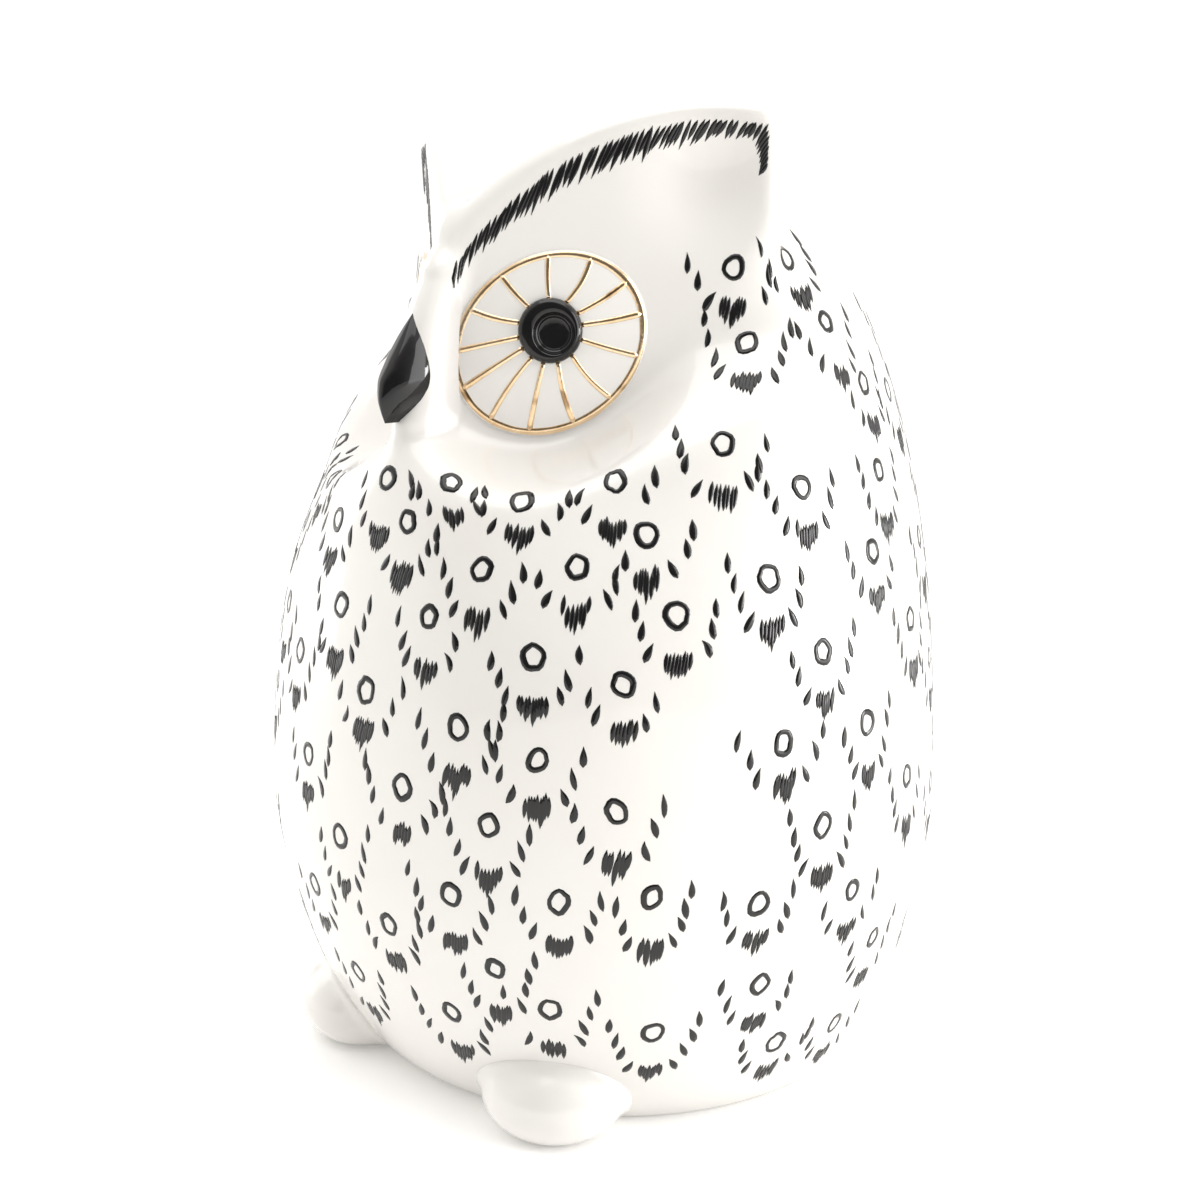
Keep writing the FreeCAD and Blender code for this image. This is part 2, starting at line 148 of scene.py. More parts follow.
def smooth_max(a, b, width):
    h = np.clip(0.5 + 0.5 * (a - b) / width, 0.0, 1.0)
    return a * h + b * (1.0 - h) + width * h * (1.0 - h)


def smooth_min(a, b, width):
    return -smooth_max(-a, -b, width)


_az = math.radians(FACE_AZIMUTH)
_el = math.radians(FACE_ELEVATION)
FACE_NORMAL = np.array([math.cos(_el) * math.sin(_az), -math.cos(_el) * math.cos(_az), math.sin(_el)])
FACE_ACROSS = np.array([math.cos(_az), math.sin(_az), 0.0])
FACE_UP = np.cross(FACE_NORMAL, FACE_ACROSS)


def egg_radius(z):
    below = np.clip((EGG_WAIST_Z - z) / EGG_WAIST_Z, 0.0, 1.5)
    above = np.clip((z - EGG_WAIST_Z) / (EGG_TOP_Z - EGG_WAIST_Z), 0.0, 1.0)
    a, b = EGG_DOME_POWERS
    low = EGG_WAIST_R - sum(draw * below ** power for draw, power in EGG_BASE_DRAW)
    return np.where(z <= EGG_WAIST_Z, low, EGG_WAIST_R * (1.0 - above ** a) ** b)


def egg_axis(z):
    forward, height, spread = EGG_CHEST
    back, power = EGG_HEEL
    below = np.clip((EGG_WAIST_Z - z) / EGG_WAIST_Z, 0.0, 1.5)
    return EGG_AXIS_Y - forward * np.exp(-((z - height) / spread) ** 2) + back * below ** power


def egg_field(p):
    x, y, z = p[..., 0], p[..., 1], p[..., 2]
    r = np.hypot(x, y - egg_axis(z))
    slope = egg_radius(z + 0.5) - egg_radius(z - 0.5)
    low = (r - egg_radius(z)) / np.sqrt(1.0 + slope * slope)
    a, b = EGG_DOME_POWERS
    rise = EGG_TOP_Z - EGG_WAIST_Z
    t = np.maximum((z - EGG_WAIST_Z) / rise, 1e-6)
    s = r / EGG_WAIST_R
    level = s ** (1.0 / b) + t ** a - 1.0
    across = s ** (1.0 / b - 1.0) / (b * EGG_WAIST_R)
    upward = a * t ** (a - 1.0) / rise
    return np.where(z <= EGG_WAIST_Z, low, level / np.maximum(np.hypot(across, upward), FLATTEST))


def face_coordinates(p, side):
    d = p * np.array([side, 1.0, 1.0]) - EYE_CENTRE
    return d @ FACE_NORMAL, d @ FACE_ACROSS, d @ FACE_UP


def eye_oval(across, up, margin=0.0):
    """How far out in the eye's oval a place on the face plane is; 1 is its edge."""
    tilt = math.radians(EYE_TILT)
    along = across * math.cos(tilt) + up * math.sin(tilt)
    over = up * math.cos(tilt) - across * math.sin(tilt)
    return np.hypot(along / (EYE_LONG + margin), over / (EYE_SHORT + margin))


def face_field(out, across, up):
    clear, fade = EYE_CLEAR
    beside_eye = smoothstep((eye_oval(across, up) - clear) / fade)
    lean = math.radians(CHEEK_TURN)
    below = np.maximum(0.0, across) * math.sin(lean) - up * math.cos(lean)
    bulge = CHEEK_BULGE * smoothstep((below - CHEEK_START) / CHEEK_SPAN) * beside_eye
    lower = -up - CHEEK_SLOPE_START
    bulge = bulge + CHEEK_SLOPE * 0.5 * (lower + np.hypot(lower, CHEEK_SLOPE_SOFT)) * beside_eye
    u, w = HOLLOW_CENTRE
    spread = ((across - u) ** 2 + (up - w) ** 2) / HOLLOW_WIDTH ** 2
    return out - bulge + HOLLOW_DEPTH * np.exp(-spread)


def ear_field(out, across, up):
    u, w = BROW_CENTRE
    under_arc = np.hypot(across - u, up - w) - BROW_RADIUS
    tuck_start, tuck_slope = EAR_TUCK
    inside_edge = across - EAR_SIDE + tuck_slope * np.maximum(0.0, tuck_start - up)
    outline = smooth_max(under_arc, inside_edge, EAR_CORNER)
    outline = smooth_max(outline, EAR_FOOT - up, EAR_FOOT_BLEND)
    back = -out - EAR_LIP + EAR_TAPER * outline
    return smooth_max(outline, back, EAR_RIM_BLEND)


def nose_line(z):
    """Where the nose ridge's centre line is at a height, and its slope there."""
    y, bend_z = NOSE_BEND
    back, rise = NOSE_UPPER
    forward, drop = NOSE_LOWER
    above = np.maximum(0.0, z - bend_z) / rise
    below = np.maximum(0.0, bend_z - z) / drop
    slope = 2.0 * back * above / rise + 2.0 * forward * below / drop
    return y + back * above ** 2 - forward * below ** 2, slope


def nose_field(p):
    z = p[..., 2]
    level = np.clip(z, *NOSE_ENDS_Z)
    line_y, slope = nose_line(level)
    away = (p[..., 1] - line_y) / np.sqrt(1.0 + slope * slope)
    return np.hypot(np.hypot(p[..., 0], away), z - level) - NOSE_RADIUS


def beside_ring(out, across, up):
    """How strongly, 0 to 1, the nose's fillet is eased back from one gold ring."""
    edge, fade = RING_EASE_OVAL
    front, front_fade = RING_EASE_OUT
    past_oval = smoothstep((eye_oval(across, up) - edge) / fade)
    in_front = smoothstep((out - front) / front_fade)
    return (1.0 - past_oval) * (1.0 - in_front)


def body_field(p):
    """Negative inside the owl's outer skin."""
    solid = egg_field(p)
    left = face_coordinates(p, 1.0)
    right = face_coordinates(p, -1.0)
    for place in (left, right):
        solid = smooth_min(solid, ear_field(*place), EAR_ROOT_BLEND)
    face = smooth_max(face_field(*left), face_field(*right), NOSE_BLEND)
    height = np.where(p[..., 0] > 0.0, left[2], right[2])
    soft, sharp = FACE_BLEND
    low, high = FACE_BLEND_SPAN
    blend = soft + (sharp - soft) * smoothstep((height - low) / (high - low))
    nose = nose_field(p) + RING_EASE * np.maximum(beside_ring(*left), beside_ring(*right))
    return smooth_min(smooth_max(solid, face, blend), nose, NOSE_JOIN)


def cavity_field(p):
    """Negative inside the space that the cast wall leaves."""
    field = egg_field(p)
    for side in (1.0, -1.0):
        out, _, up = face_coordinates(p, side)
        field = np.where(up > -CAVITY_CHEEK, np.maximum(field, out), field)
    return field + WALL


def last_crossing(start, direction, field, reach=RAY_REACH, step=RAY_STEP):
    """The place on each ray where it leaves the field's inside for the last time."""
    travelled = np.full(len(start), float(reach))
    active = np.arange(len(start))
    while active.size:
        p = start[active] + direction[active] * travelled[active, None]
        active = active[field(p) > 0.0]
        travelled[active] -= step
        active = active[travelled[active] > 0.0]
    low = travelled
    high = travelled + step
    for _ in range(HALVINGS):
        middle = 0.5 * (low + high)
        inside = field(start + direction * middle[:, None]) < 0.0
        low = np.where(inside, middle, low)
        high = np.where(inside, high, middle)
    return start + direction * (0.5 * (low + high))[:, None]


def surface_normals(p, field):
    grads = [field(p + axis * PROBE) - field(p - axis * PROBE) for axis in np.eye(3)]
    n = np.stack(grads, -1)
    return n / np.linalg.norm(n, axis=-1, keepdims=True)


def drop_on(p, field):
    """Move points on to the surface where the field is zero, and give the normals there."""
    for _ in range(DROP_ROUNDS):
        grads = [(field(p + axis * PROBE) - field(p - axis * PROBE)) / (2.0 * PROBE) for axis in np.eye(3)]
        g = np.stack(grads, -1)
        p = p - g * (field(p) / np.maximum((g * g).sum(-1), 0.05))[..., None]
    return p, surface_normals(p, field)


# ---------------------------------------------------------------- meshes
def make_piece(name, points, faces, material, replaced=()):
    mesh = bpy.data.meshes.new(name)
    mesh.from_pydata((np.asarray(points) * MM).tolist(), [], faces)
    mesh.validate()
    mesh.polygons.foreach_set("use_smooth", [True] * len(mesh.polygons))
    mesh.materials.append(material)
    mesh.update()
    piece = bpy.data.objects.new(name, mesh)
    bpy.context.scene.collection.objects.link(piece)
    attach(piece, BODY)
    if replaced:
        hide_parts(*replaced)


def side_name(side):
    return "left" if side > 0 else "right"


def full_turn(count):
    return np.linspace(0.0, 2.0 * math.pi, count, endpoint=False)


def flipped(faces):
    return [tuple(reversed(face)) for face in faces]


def ring_faces(first, second, count):
    """Quads between two closed rings of points, given by their first indices."""
    return [(first + i, first + (i + 1) % count, second + (i + 1) % count, second + i) for i in range(count)]


def stacked_faces(rows, count):
    """Quads between rings of points stacked one after another."""
    faces = []
    for i in range(rows - 1):
        faces += ring_faces(i * count, (i + 1) * count, count)
    return faces


def fan_faces(first, tip, count):
    """Triangles between a closed ring of points and one point past it."""
    return [(first + i, first + (i + 1) % count, tip) for i in range(count)]


BODY_COLUMNS = 480
LEVEL_ROWS = 130
FAN_ROWS = 128
CAVITY_ROWS = 40
BASE_ROUND = 0.35           # how far the base's edge is drawn in
BASE_HEIGHTS = (0.0, 0.35, 0.8)    # close rows just above the base, under the first regular row
FIRST_ROW_Z = 1.4
# radius and height of the rings on the flat base and in the vent, from the outside inwards
BASE_RINGS = ((40.0, 0.0), (VENT_RADIUS + 0.6, 0.0), (VENT_RADIUS, 0.6), (VENT_RADIUS, WALL))
CAVITY_START = 0.02         # the cavity's first row is this far above the inner floor
CAVITY_CROWDING = 1.3       # above 1, the rows are closer together near the floor
CAVITY_TOP_Z = EGG_TOP_Z - WALL - 1.0    # the cavity's one topmost point


def ray_directions(elevation, turns):
    """Unit directions round the axis at one elevation; turn 0 points to the front."""
    level = math.cos(elevation)
    upward = np.full(len(turns), math.sin(elevation))
    return np.stack([level * np.sin(turns), -level * np.cos(turns), upward], -1)


def ray_rings(levels, fan, columns, field):
    """Rings of points on a field's skin: level rays at these heights, then a fan from the highest."""
    turns = full_turn(columns)
    starts = [np.tile([0.0, EGG_AXIS_Y, z], (columns, 1)) for z in [*levels, *[RAY_CENTRE_Z] * len(fan)]]
    directions = [ray_directions(elevation, turns) for elevation in [*[0.0] * len(levels), *fan]]
    return last_crossing(np.concatenate(starts), np.concatenate(directions), field)


def build_body(material):
    """The casting as one closed skin: outside, flat base, vent and cavity."""
    count = BODY_COLUMNS
    levels = np.concatenate([BASE_HEIGHTS, np.linspace(FIRST_ROW_Z, RAY_CENTRE_Z, LEVEL_ROWS)])
    fan = np.linspace(0.0, 0.5 * math.pi, FAN_ROWS + 2)[1:-1]
    outer = ray_rings(levels, fan, count, body_field)
    centre = np.array([0.0, egg_axis(0.0), 0.0])
    outer[:count] = centre + (outer[:count] - centre) * (1.0 - BASE_ROUND / EGG_WAIST_R)
    upright = np.array([[0.0, 0.0, 1.0]])
    crown = last_crossing(np.array([[0.0, EGG_AXIS_Y, RAY_CENTRE_Z]]), upright, body_field)
    points = [outer, crown]
    rows = len(levels) + len(fan)
    top = rows * count
    faces = stacked_faces(rows, count) + fan_faces(top - count, top, count)
    # the flat base runs in to the vent, and the cavity's wall closes the casting from inside
    around = ray_directions(0.0, full_turn(count))
    for radius, z in BASE_RINGS:
        middle = np.array([0.0, centre[1] * (radius - VENT_RADIUS) / EGG_WAIST_R, z])
        points.append(middle + around * radius)
    crowded = np.linspace(0.0, 1.0, CAVITY_ROWS) ** CAVITY_CROWDING
    levels_inside = WALL + CAVITY_START + (RAY_CENTRE_Z - WALL) * crowded
    fan_inside = np.linspace(0.0, 0.5 * math.pi, CAVITY_ROWS)[1:-1]
    points.append(ray_rings(levels_inside, fan_inside, count, cavity_field))
    last = 0
    for i in range(len(BASE_RINGS) + len(levels_inside) + len(fan_inside)):
        here = top + 1 + i * count
        faces += flipped(ring_faces(last, here, count))
        last = here
    points.append(np.array([[0.0, EGG_AXIS_Y, CAVITY_TOP_Z]]))
    faces += flipped(fan_faces(last, last + count, count))
    make_piece("glazed_body", np.concatenate(points), faces, material, ["body_shell"])


# ---------------------------------------------------------------- materials
def new_material(name):
    material = bpy.data.materials.new(name)
    material.use_nodes = True
    nodes = material.node_tree.nodes
    nodes.clear()
    output = nodes.new("ShaderNodeOutputMaterial")
    shader = nodes.new("ShaderNodeBsdfPrincipled")
    material.node_tree.links.new(shader.outputs["BSDF"], output.inputs["Surface"])
    return material, material.node_tree, shader


def noise(tree, scale, detail, roughness, source):
    node = tree.nodes.new("ShaderNodeTexNoise")
    node.inputs["Scale"].default_value = scale
    node.inputs["Detail"].default_value = detail
    node.inputs["Roughness"].default_value = roughness
    tree.links.new(source, node.inputs["Vector"])
    return node


def ramp(tree, source, stops):
    node = tree.nodes.new("ShaderNodeValToRGB")
    elements = node.color_ramp.elements
    while len(elements) < len(stops):
        elements.new(0.5)
    for element, (place, colour) in zip(elements, stops):
        element.position = place
        element.color = (*colour, 1.0)
    tree.links.new(source, node.inputs["Fac"])
    return node


def object_coordinates(tree):
    return tree.nodes.new("ShaderNodeTexCoord").outputs["Object"]


def bump_chain(tree, shader, layers):
    """Stack bumps, each a height output, a distance in metres and a strength."""
    normal = None
    for height, distance, strength in layers:
        bump = tree.nodes.new("ShaderNodeBump")
        bump.inputs["Strength"].default_value = strength
        bump.inputs["Distance"].default_value = distance
        tree.links.new(height, bump.inputs["Height"])
        if normal is not None:
            tree.links.new(normal, bump.inputs["Normal"])
        normal = bump.outputs["Normal"]
    tree.links.new(normal, shader.inputs["Normal"])
    return normal


def white_glaze():
    material, tree, shader = new_material("white_glaze")
    place = object_coordinates(tree)
    tone = noise(tree, 18.0, 3.0, 0.5, place)
    colour = ramp(tree, tone.outputs["Fac"], [(0.3, (0.830, 0.805, 0.765)), (0.7, (0.870, 0.850, 0.815))])
    tree.links.new(colour.outputs["Color"], shader.inputs["Base Color"])
    shader.inputs["Roughness"].default_value = 0.32
    shader.inputs["IOR"].default_value = 1.5
    shader.inputs["Coat Weight"].default_value = 1.0
    shader.inputs["Coat Roughness"].default_value = 0.035
    shader.inputs["Coat IOR"].default_value = 1.5
    wave = noise(tree, 42.0, 1.0, 0.4, place)
    peel = noise(tree, 420.0, 2.0, 0.5, place)
    layers = [(wave.outputs["Fac"], 0.0007, 0.5), (peel.outputs["Fac"], 0.00003, 0.4)]
    normal = bump_chain(tree, shader, layers)
    tree.links.new(normal, shader.inputs["Coat Normal"])
    return material


def black_glaze():
    material, tree, shader = new_material("black_glaze")
    place = object_coordinates(tree)
    tone = noise(tree, 160.0, 4.0, 0.6, place)
    colour = ramp(tree, tone.outputs["Fac"], [(0.35, (0.005, 0.0047, 0.0049)),
                                              (0.72, (0.011, 0.0102, 0.0102))])
    tree.links.new(colour.outputs["Color"], shader.inputs["Base Color"])
    blotch = noise(tree, 300.0, 2.0, 0.5, place)
    gloss = ramp(tree, blotch.outputs["Fac"], [(0.3, (0.05,) * 3), (0.7, (0.10,) * 3)])
    tree.links.new(gloss.outputs["Color"], shader.inputs["Roughness"])
    shader.inputs["IOR"].default_value = 1.5
    wave = noise(tree, 260.0, 2.0, 0.5, place)
    bump_chain(tree, shader, [(wave.outputs["Fac"], 0.00006, 0.6)])
    return material


def gold_lustre():
    material, tree, shader = new_material("gold_lustre")
    place = object_coordinates(tree)
    tone = noise(tree, 110.0, 3.0, 0.6, place)
    colour = ramp(tree, tone.outputs["Fac"], [(0.34, (0.36, 0.23, 0.12)), (0.42, (0.80, 0.57, 0.34)),
                                              (0.7, (0.93, 0.73, 0.50))])
    tree.links.new(colour.outputs["Color"], shader.inputs["Base Color"])
    shader.inputs["Metallic"].default_value = 1.0
    shader.inputs["Roughness"].default_value = 0.2
    grain = noise(tree, 900.0, 3.0, 0.6, place)
    bump_chain(tree, shader, [(grain.outputs["Fac"], 0.00006, 0.7)])
    return material


# ---------------------------------------------------------------- feet, eyes and beak
FOOT_CENTRE = np.array([32.0, -52.8, 0.0])
FOOT_TURN = 31.0
FOOT_HALF = (16.3, 15.5, 11.5)
FOOT_BELLY = 8.5
FOOT_EDGE = 1.2             # width of the round where the foot meets the floor
FOOT_JOIN = 3.5             # width of the web of glaze between foot and body
FOOT_SKIN = 1.3             # and how far it may reach past the foot
FOOT_COLUMNS = 96
FOOT_ROWS = 64
FOOT_REACH = 40.0           # rays from the foot's middle start this far out and come in by these steps
FOOT_STEP = 0.8


def ellipsoid_field(p, centre, half, turn):
    c, s = math.cos(math.radians(turn)), math.sin(math.radians(turn))
    d = p - centre
    local = np.stack([d[..., 0] * c + d[..., 1] * s, d[..., 1] * c - d[..., 0] * s, d[..., 2]], -1)
    scaled = local / np.array(half)
    k0 = np.linalg.norm(scaled, axis=-1)
    k1 = np.linalg.norm(scaled / np.array(half), axis=-1)
    return k0 * (k0 - 1.0) / np.maximum(k1, 1e-6)


def foot_field(p):
    lump = ellipsoid_field(p, FOOT_CENTRE + np.array([0.0, 0.0, FOOT_BELLY]), FOOT_HALF, FOOT_TURN)
    return smooth_max(lump, -p[..., 2], FOOT_EDGE)


def joined_foot_field(p):
    alone = foot_field(p)
    joined = smooth_min(alone, body_field(p), FOOT_JOIN)
    return np.maximum(np.maximum(joined, alone - FOOT_SKIN), -p[..., 2])


def build_foot(side, material):
    rows, columns = FOOT_ROWS, FOOT_COLUMNS
    turns = full_turn(columns)
    elevations = np.linspace(-0.5 * math.pi, 0.5 * math.pi, rows + 2)[1:-1]
    directions = [ray_directions(elevation, turns) for elevation in elevations]
    directions = np.concatenate(directions + [np.array([[0.0, 0.0, -1.0], [0.0, 0.0, 1.0]])])
    starts = np.tile(FOOT_CENTRE + np.array([0.0, 0.0, FOOT_BELLY]), (len(directions), 1))
    points = last_crossing(starts, directions, joined_foot_field, FOOT_REACH, FOOT_STEP)
    points = points * np.array([side, 1.0, 1.0])
    tip = rows * columns
    faces = stacked_faces(rows, columns) + flipped(fan_faces(0, tip, columns))
    faces += fan_faces(tip - columns, tip + 1, columns)
    if side < 0:
        faces = flipped(faces)
    name = side_name(side)
    make_piece("glazed_foot_" + name, points, faces, material, ["foot_" + name])


def on_face(across, up, out, side=1.0):
    p = EYE_CENTRE + np.multiply.outer(across, FACE_ACROSS) + np.multiply.outer(up, FACE_UP)
    p = p + np.multiply.outer(out, FACE_NORMAL)
    return p * np.array([side, 1.0, 1.0])


def oval_point(share, angle):
    """Across and up the face plane of a place in the eye's oval; angle from its long axis."""
    tilt = math.radians(EYE_TILT)
    along = share * (EYE_LONG + DOME_MARGIN) * np.cos(angle)
    over = share * (EYE_SHORT + DOME_MARGIN) * np.sin(angle)
    return along * math.cos(tilt) - over * math.sin(tilt), along * math.sin(tilt) + over * math.cos(tilt)


DOME_COLUMNS = 160
DOME_ROWS = 60
DOME_LIP = (1.004, 0.12)    # the dome's side is this much wider than its top, and starts this far below
SEAT_HEIGHT = 1.25          # the pupil's seat over the face plane
SEAT_EDGE = (0.2, 0.9)      # it fades out this far inside the pupil's edge, over this width


def dome_height(across, up):
    share = eye_oval(across, up, DOME_MARGIN)
    return DOME_EDGE + (DOME_RISE - DOME_EDGE) * (1.0 - share ** 2)


def seated_height(across, up):
    """The dome's height with the pupil's seat sunk in it."""
    inset, fade = SEAT_EDGE
    from_pupil = np.hypot(across - PUPIL_PLACE[0], up - PUPIL_PLACE[1])
    sunk = smoothstep((PUPIL_RADIUS - inset - from_pupil) / fade)
    return dome_height(across, up) * (1.0 - sunk) + SEAT_HEIGHT * sunk


def build_dome(side, material):
    rows, columns = DOME_ROWS, DOME_COLUMNS
    turns = full_turn(columns)
    points = []
    for share in np.linspace(0.0, 1.0, rows + 1)[1:]:
        u, w = oval_point(share, turns)
        points.append(on_face(u, w, seated_height(u, w), side))
    u, w = oval_point(1.0, turns)
    wider, drop = DOME_LIP
    for height in (DOME_EDGE - drop, -DOME_DEPTH):
        points.append(on_face(u * wider, w * wider, np.full(columns, height), side))
    middle = np.zeros(1)
    points.append(on_face(middle, middle, seated_height(middle, middle), side))
    centre = (rows + 2) * columns
    faces = flipped(stacked_faces(rows + 2, columns)) + fan_faces(0, centre, columns)
    faces.append(tuple(reversed(range(centre - columns, centre))))
    if side < 0:
        faces = flipped(faces)
    name = side_name(side)
    make_piece("glazed_eye_" + name, np.concatenate(points), faces, material,
               ["eye_dome_" + name])


# radius and height over the face plane and share of the crater's shift, from the pupil's skirt inwards
PUPIL_OUTLINE = ((6.75, 1.2, 0.0), (6.7, 2.0, 0.0), (6.62, 2.5, 0.0), (6.4, 3.0, 0.0), (6.05, 3.4, 0.0),
                 (5.7, 3.62, 0.1), (5.4, 3.69, 0.3), (5.0, 3.7, 0.65), (4.6, 3.67, 0.95), (4.4, 3.55, 1.0),
                 (4.2, 3.3, 1.0), (4.0, 3.0, 1.0), (3.85, 2.72, 1.0), (3.68, 2.56, 1.0), (3.5, 2.48, 1.0),
                 (3.42, 2.36, 1.0), (3.3, 2.15, 1.0), (3.1, 2.0, 1.0), (2.6, 1.93, 1.0), (1.3, 1.9, 1.0))
CRATER_SHIFT = (0.85, -0.55)
PUPIL_COLUMNS = 96


def build_pupil(side, material):
    columns = PUPIL_COLUMNS
    turns = full_turn(columns)
    points = []
    for radius, height, share in PUPIL_OUTLINE:
        across, up = (PUPIL_PLACE[i] + CRATER_SHIFT[i] * share for i in (0, 1))
        heights = np.full(columns, height)
        points.append(on_face(across + radius * np.cos(turns), up + radius * np.sin(turns), heights, side))
    points.append(on_face(np.array([across]), np.array([up]), np.array([height]), side))
    rows = len(PUPIL_OUTLINE)
    tip = rows * columns
    faces = [tuple(reversed(range(columns)))] + stacked_faces(rows, columns)
    faces += fan_faces(tip - columns, tip, columns)
    if side < 0:
        faces = flipped(faces)
    name = side_name(side)
    make_piece("black_pupil_" + name, np.concatenate(points), faces, material,
               ["pupil_" + name])


# height, reach in front of the nose ridge, half width
BEAK_SECTIONS = ((174.6, 0.2, 0.3), (171.5, 1.4, 2.1), (168.0, 2.8, 3.5), (164.2, 4.6, 4.3),
                 (160.5, 6.4, 4.5), (157.0, 6.6, 3.8), (154.2, 5.4, 2.3), (152.0, 3.8, 0.5))
BEAK_SEAT_DEPTH = 2.5
BEAK_EDGE = 0.15            # the beak is at least twice this wide
BEAK_COLUMNS = 48
BEAK_ROWS = 60


def smooth_table(rows, count):
    """Points on a smooth curve through a short table's rows."""
    rows = np.array(rows, float)
    at = np.linspace(0.0, len(rows) - 1.0, count)
    i = np.clip(at.astype(int), 0, len(rows) - 2)
    t = (at - i)[:, None]
    padded = np.vstack([2 * rows[0] - rows[1], rows, 2 * rows[-1] - rows[-2]])
    p0, p1, p2, p3 = (padded[i + k] for k in range(4))
    return p1 + 0.5 * t * (p2 - p0 + t * (2 * p0 - 5 * p1 + 4 * p2 - p3 + t * (3 * (p1 - p2) + p3 - p0)))


def build_beak(material):
    rows, columns = BEAK_ROWS, BEAK_COLUMNS
    turns = full_turn(columns)
    points = []
    for height, reach, half_width in smooth_table(BEAK_SECTIONS, rows):
        middle = nose_line(height)[0] - NOSE_RADIUS + BEAK_SEAT_DEPTH
        depth = reach + BEAK_SEAT_DEPTH
        half = max(half_width, BEAK_EDGE)
        points.append(np.stack([half * np.sin(turns), middle - depth * np.cos(turns),
                                np.full(columns, height)], -1))
    caps = [tuple(reversed(range(columns))), tuple(range((rows - 1) * columns, rows * columns))]
    faces = flipped(stacked_faces(rows, columns) + caps)
    make_piece("black_beak", np.concatenate(points), faces, material, ["beak"])


# ---------------------------------------------------------------- strokes of glaze and gold
# a stroke's section: share of its width, and height over the surface
STROKE_SECTION = ((-0.5, -0.07), (-0.45, 0.05), (0.0, 0.07), (0.45, 0.05), (0.5, -0.07))


class Strokes:
    """Collects hand-drawn strokes, each a thin closed solid, and lays them on a surface."""

    def __init__(self):
        self.centres = []
        self.heights = []
        self.faces = []
        self.count = 0

    def add(self, place, line, widths, closed=False):
        """Add one stroke; place turns (n, 2) flat coordinates into 3-D points near the surface."""
        line = np.asarray(line, float)
        widths = np.asarray(widths, float)
        if closed:
            ahead = np.roll(line, -1, 0) - np.roll(line, 1, 0)
        else:
            ahead = np.gradient(line, axis=0)
        ahead /= np.maximum(np.linalg.norm(ahead, axis=1, keepdims=True), 1e-9)
        sideways = np.stack([-ahead[:, 1], ahead[:, 0]], -1)
        n = len(line)
        k = len(STROKE_SECTION)
        flat = np.zeros((n, k, 2))
        lift = np.zeros((n, k))
        for j, (share, height) in enumerate(STROKE_SECTION):
            flat[:, j] = line + sideways * (share * widths)[:, None]
            lift[:, j] = height
        self.centres.append(place(flat.reshape(-1, 2)))
        self.heights.append(lift.reshape(-1))
        base = self.count
        for i in range(n if closed else n - 1):
            self.faces += ring_faces(base + i * k, base + (i + 1) % n * k, k)
        if not closed:
            self.faces.append(tuple(base + j for j in reversed(range(k))))
            self.faces.append(tuple(base + (n - 1) * k + j for j in range(k)))
        self.count += n * k

    def lay(self, field):
        points, normals = drop_on(np.concatenate(self.centres), field)
        return points + normals * np.concatenate(self.heights)[:, None]


def plane_at(origin, right, up):
    return lambda flat: origin + flat[:, :1] * right + flat[:, 1:] * up


def face_plane(side):
    def place(flat):
        return on_face(flat[:, 0], flat[:, 1], np.zeros(len(flat)), side)
    return place


def egg_place(azimuth, height):
    """A plane that touches the owl's skin at an azimuth (degrees, 0 is the front) and a height."""
    turn = math.radians(azimuth)
    start = np.array([[0.0, EGG_AXIS_Y, height]])
    direction = np.array([[math.sin(turn), -math.cos(turn), 0.0]])
    origin = last_crossing(start, direction, body_field)
    normal = surface_normals(origin, body_field)[0]
    right = np.cross(np.array([0.0, 0.0, 1.0]), normal)
    right /= np.linalg.norm(right)
    return plane_at(origin[0], right, np.cross(normal, right)), origin[0]


THINNEST = 0.08             # a stroke's narrowest width


def tapered(n, width, blunt, peak):
    """Widths of a brush dash: pointed at the start, widest at the peak, rounder at the end."""
    t = np.linspace(0.0, 1.0, n)
    rise = np.sin(np.clip(t / peak, 0, 1) * 0.5 * math.pi) ** 1.1
    fall = np.cos(np.clip((t - peak) / (1 - peak), 0, 1) * 0.5 * math.pi) ** blunt
    return np.maximum(width * rise * fall, THINNEST)


def turned(points, angle):
    c, s = math.cos(angle), math.sin(angle)
    return points @ np.array([[c, s], [-s, c]])


def straight(middle, length, lean):
    """Points of a straight stroke that leans from upright by an angle."""
    ahead = np.array([math.sin(lean), math.cos(lean)])
    return middle + np.outer(np.linspace(-0.5, 0.5, DASH_POINTS) * length, ahead)


# sizes of the brush work (mm); a pair is the range that the hand varies in
DASH_POINTS = 7
DASH_LENGTH = (3.9, 5.0)
DASH_WIDTH = (1.35, 1.8)
DASH_STEP = (3.6, 4.4)
DASH_LEAN = 0.42            # how much the rows of dashes open outwards (radians)
RING_POINTS = 18
RING_RADIUS = (2.0, 2.35)
RING_WIDTH = (1.05, 1.3)
TUFT_POINTS = 6
TUFT_STROKES = (7, 10)
TUFT_TALL = (5.6, 7.0)
TUFT_WIDTH = (0.95, 1.3)
TUFT_HALF = (2.3, 3.0)
TUFT_DEPTH = (9.5, 13.5)    # how far a tuft hangs below its ring
TUFT_LEAST = 7.5            # it is raised as far as this, in steps, to keep clear of another ring
TUFT_RAISE = 0.5
TUFT_FLOOR = 6.0            # the least height of a tuft over the floor
FEATHER_HALF = (7.6, 9.2)
FEATHER_TOPS = (0.5, 6.5)   # how far the dashes climb above the ring


